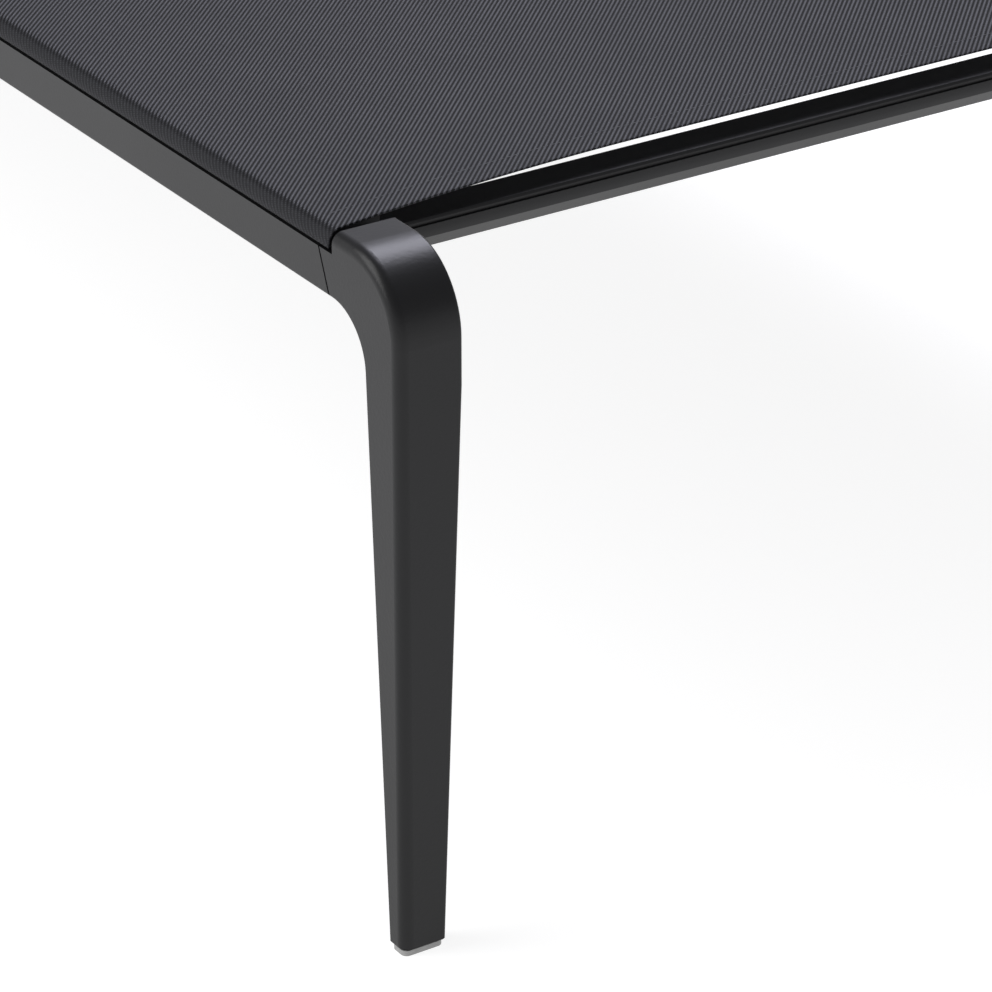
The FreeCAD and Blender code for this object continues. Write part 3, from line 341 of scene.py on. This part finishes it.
def weave_sling(name, outer, foot_y, head_y, sag, ride):
    """A grid of cross lines, each the across_sling line carried along Y. The end lines tuck under: a hem
    runs back under the cloth, a half circle brings it up, and the top run eases into the next end. UVs are
    metres along the cloth both ways, so the twill keeps its pitch round the bead."""
    half_x, half_z, half_s = across_sling(outer)
    x = np.concatenate([half_x, -half_x[-2::-1]])
    z = np.concatenate([half_z, half_z[-2::-1]])
    s = np.concatenate([half_s, 2 * half_s[-1] - half_s[-2::-1]])
    wrap = np.concatenate([np.gradient(half_z, half_s), -np.gradient(half_z, half_s)[-2::-1]])
    rise = np.concatenate([np.gradient(half_x, half_s), np.gradient(half_x, half_s)[-2::-1]])

    tuck = np.linspace(hem_width, 0.0008, 5)
    roll = np.linspace(0.0, pi, 9)[1:-1]
    ease = np.linspace(0.0, 1.0, 44)
    top = 0.5 * (0.12 * ease + 0.88 * ease ** 2.1)
    near = np.concatenate([tuck, roll_start - 0.5 * hem_drop * np.sin(roll)])
    near_depth = np.concatenate([np.full(tuck.size, hem_drop), 0.5 * hem_drop * (1 + np.cos(roll))])
    near_v = np.concatenate([-tuck, roll_start * (roll / pi - 0.5)])

    foot_edge = foot_y + hollow(x, outer)
    head_edge = head_y - hollow(x, outer)
    run = head_edge - foot_edge
    top_y = foot_edge[None, :] + roll_start + (run - 2 * roll_start)[None, :] * top[:, None]
    y_foot = np.concatenate([foot_edge[None, :] + near[:, None], top_y])
    y_head = np.concatenate([head_edge[None, :] - near[:, None], foot_edge + head_edge - top_y])[::-1]
    y = np.concatenate([y_foot, y_head[1:]])
    depth = np.concatenate([near_depth, np.zeros(2 * top.size - 1), near_depth[::-1]])[:, None]
    v = np.concatenate([foot_edge[None, :] + near_v[:, None], y[near.size:-near.size],
                        head_edge[None, :] - near_v[::-1, None]])

    in_from_end = np.minimum(y - foot_edge, head_edge - y)
    crease = 0.00022 * np.exp(-((in_from_end - hem_width + hem_seam) / 0.0011) ** 2) * (depth == 0)
    middle = np.clip((y - foot_edge) / run, 0.0, 1.0)
    dip = sag * np.sin(pi * middle) ** 1.5 * np.clip(1.0 - (x / (outer - 0.012)) ** 2, 0.0, 1.0)
    sunk = depth + crease
    shape_x = x[None, :] + sunk * wrap[None, :]
    shape_z = z[None, :] - sunk * rise[None, :] - dip

    rows, columns = y.shape
    points = np.stack([shape_x * np.ones_like(y), y, shape_z], axis=-1).reshape(-1, 3)
    corner = np.arange((rows - 1) * columns).reshape(rows - 1, columns)[:, :-1].ravel()
    faces = np.stack([corner, corner + 1, corner + columns + 1, corner + columns], axis=1)
    mesh = bpy.data.meshes.new(name)
    mesh.from_pydata(points, [], faces)
    layer = mesh.uv_layers.new(name="cloth")
    flat = np.stack([np.broadcast_to(s[None, :], y.shape).ravel(), v.ravel()], axis=1)
    layer.data.foreach_set("uv", flat[faces.ravel()].ravel())
    from_edge = np.minimum(s, s[-1] - s)
    # This mask is 1 on the cloth's wrap round the bead and 0 on the flat. The twill calms its ribs and relief
    # there, and paints the wrap darker as painted shade, with a darker painted shade line where the wrap
    # begins.
    pulled_and_shaded = np.clip((0.0165 - from_edge) / 0.0030, 0.0, 1.0)[None, :] * np.ones_like(y)
    # This mask is 1 at the fold of each free end, where the twill paints the cloth darker as painted shade.
    fold_shade = np.exp(-(np.maximum(in_from_end, 0.0) / 0.0007) ** 2) * (depth < hem_drop)
    mesh.attributes.new("pulled_and_shaded", "FLOAT", "POINT").data.foreach_set("value", pulled_and_shaded.ravel())
    mesh.attributes.new("fold_shade", "FLOAT", "POINT").data.foreach_set("value", fold_shade.ravel())
    mesh.polygons.foreach_set("use_smooth", np.ones(len(mesh.polygons), dtype=bool))
    sling = bpy.data.objects.new(name, mesh)
    scene.collection.objects.link(sling)
    shell = sling.modifiers.new("thickness", "SOLIDIFY")
    shell.thickness = cloth_thickness
    shell.offset = 0.0
    mesh.materials.append(twill.material)
    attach(sling, ride)
    return sling, s[-1], run.mean() + 2 * hem_width


# The twill goes two over and two under, one yarn further at each pick, so its ribs climb at 45 degrees.
# The warp yarns are a lighter grey than the weft, and each yarn is a little uneven.
yarn = 0.000713
twill = Finish("sling_fabric", (0.050, 0.051, 0.056), 0.62, IOR=1.45, Specular_IOR_Level=0.12)
cloth_uv = twill.node("ShaderNodeTexCoord", output="UV")
wander = twill.noise(cloth_uv, 190.0, 2.0)
along_x, along_y = [
    twill.node("ShaderNodeSeparateXYZ", {}, {"Vector": cloth_uv}, output=axis) / yarn + 0.9 * wander
    for axis in ("X", "Y")]


def yarn_height(across, along):
    """How high this set of yarns stands, 0 to 1: round across each yarn, and over and under along it."""
    rounded = (across.through("FRACT") * pi).through("SINE")
    turn = ((along - across.through("FLOOR")) / 4.0).through("FRACT")
    rise = (turn * (2.0 * pi)).through("SINE")
    return (0.5 + 0.5 * rise) * (0.35 + 0.65 * rounded)


warp_high = yarn_height(along_x, along_y)
weft_high = yarn_height(along_y, along_x) * 0.8
cloth_high = warp_high.math("MAXIMUM", warp_high, weft_high)
fleck = twill.noise(cloth_uv, 900.0, 2.0)
patch = twill.noise(cloth_uv, 24.0, 2.0)
pulled_and_shaded = twill.node("ShaderNodeAttribute", {"attribute_name": "pulled_and_shaded"}, output="Fac")
fold_shade = twill.node("ShaderNodeAttribute", {"attribute_name": "fold_shade"}, output="Fac")
rib = twill.node("ShaderNodeMapRange", {"interpolation_type": "SMOOTHSTEP"},
                 {"Value": warp_high, "From Min": 0.30, "From Max": 0.86, "To Min": 0.0, "To Max": 1.0})
# The yarns' uneven tone from flecks and patches, times painted shade that darkens the folds at the free ends.
wear_and_fold_shade = (0.26 + 0.95 * fleck + 0.27 * patch) * (1.0 - 0.25 * fold_shade)
# On the wrap round the bead the ribs fade and the cloth is painted darker as painted shade; a narrow painted
# shade line runs where the wrap begins.
shade = (rib * (1.0 - 0.86 * pulled_and_shaded) + 0.10 * pulled_and_shaded) * wear_and_fold_shade * (1.0 - 2.6 * pulled_and_shaded * (1.0 - pulled_and_shaded))
twill.feed(twill.surface.inputs["Base Color"],
           twill.blend_colours(shade, (0.0050, 0.0050, 0.0060), (0.145, 0.147, 0.162)))
twill.relief(cloth_high * (1.0 - 0.85 * pulled_and_shaded), 0.00022)

seat_sling, seat_wide, seat_long = weave_sling("seat_sling_cloth", 0.350, -0.9455, 0.160, 0.004, "frame")
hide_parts("seat_sling")


# ---- Back sling -------------------------------------------------------------------------------------------
# The same cloth on the backrest's narrower rails, short of their ends by the bars' width.
back_sling, back_wide, back_long = weave_sling("back_sling_cloth", 0.308, 0.189, 0.881, 0.003, "backrest")
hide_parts("back_sling")


# ---- Hem stitching ----------------------------------------------------------------------------------------
# A lockstitch in bonded charcoal thread holds each folded end, 4 mm to a stitch, a little inside the fold.
stitch_height = 0.32985


def stitch_row(name, outer, edges, ride):
    """Stitches along a free end: each is a thread ellipsoid, 3 mm long, half sunk in the cloth and turned
    along the end's own curve. edges holds (y of the end, +1 or -1 towards the cloth)."""
    around = 6
    rings = 6
    reach = np.arange(-outer + 0.012, outer - 0.012, 0.004)
    turn, tip = np.meshgrid(np.linspace(0, 2 * pi, around + 1)[:-1], np.linspace(0.14, pi - 0.14, rings))
    bead = np.stack([0.0016 * np.cos(tip),
                     0.00026 * np.sin(tip) * np.cos(turn),
                     0.00022 * np.sin(tip) * np.sin(turn)], axis=-1).reshape(-1, 3)
    centres = []
    slopes = []
    for edge_y, inward in edges:
        y = edge_y + inward * (hollow(reach, outer) + hem_width - hem_seam)
        centres.append(np.stack([reach, y, np.full(reach.size, stitch_height)], axis=1))
        slopes.append(np.gradient(y, reach))
    centre = np.concatenate(centres)
    slope = np.arctan(np.concatenate(slopes))
    cosine = np.cos(slope)[:, None]
    sine = np.sin(slope)[:, None]
    x = centre[:, :1] + bead[None, :, 0] * cosine - bead[None, :, 1] * sine
    y = centre[:, 1:2] + bead[None, :, 0] * sine + bead[None, :, 1] * cosine
    z = centre[:, 2:3] + bead[None, :, 2]
    points = np.stack([x, y, z], axis=-1).reshape(-1, 3)
    ring = np.arange(around)
    onward = (ring + 1) % around
    band = np.concatenate([np.stack([ring, onward, around + onward, around + ring], axis=1) + around * lower
                           for lower in range(rings - 1)])
    start = np.arange(len(centre))[:, None] * around * rings
    sides_of = (start[:, None] + band[None]).reshape(-1, 4)
    first = start + ring[::-1][None, :]
    last = start + around * (rings - 1) + ring[None, :]
    mesh = bpy.data.meshes.new(name)
    mesh.from_pydata(points, [], sides_of.tolist() + first.tolist() + last.tolist())
    mesh.polygons.foreach_set("use_smooth", np.ones(len(mesh.polygons), dtype=bool))
    thread = bpy.data.objects.new(name, mesh)
    scene.collection.objects.link(thread)
    mesh.materials.append(thread_finish.material)
    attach(thread, ride)
    return thread


thread_finish = Finish("bonded_thread", (0.075, 0.076, 0.082), 0.5, IOR=1.5, Specular_IOR_Level=0.2)
thread_twist = thread_finish.noise(thread_finish.place(), 3000.0, 1.0)
thread_finish.feed(thread_finish.surface.inputs["Roughness"], 0.4 + 0.25 * thread_twist)
seat_stitches = stitch_row("seat_sling_stitches", 0.350, [(-0.9455, 1), (0.160, -1)], "frame")
back_stitches = stitch_row("back_sling_stitches", 0.308, [(0.189, 1), (0.881, -1)], "backrest")
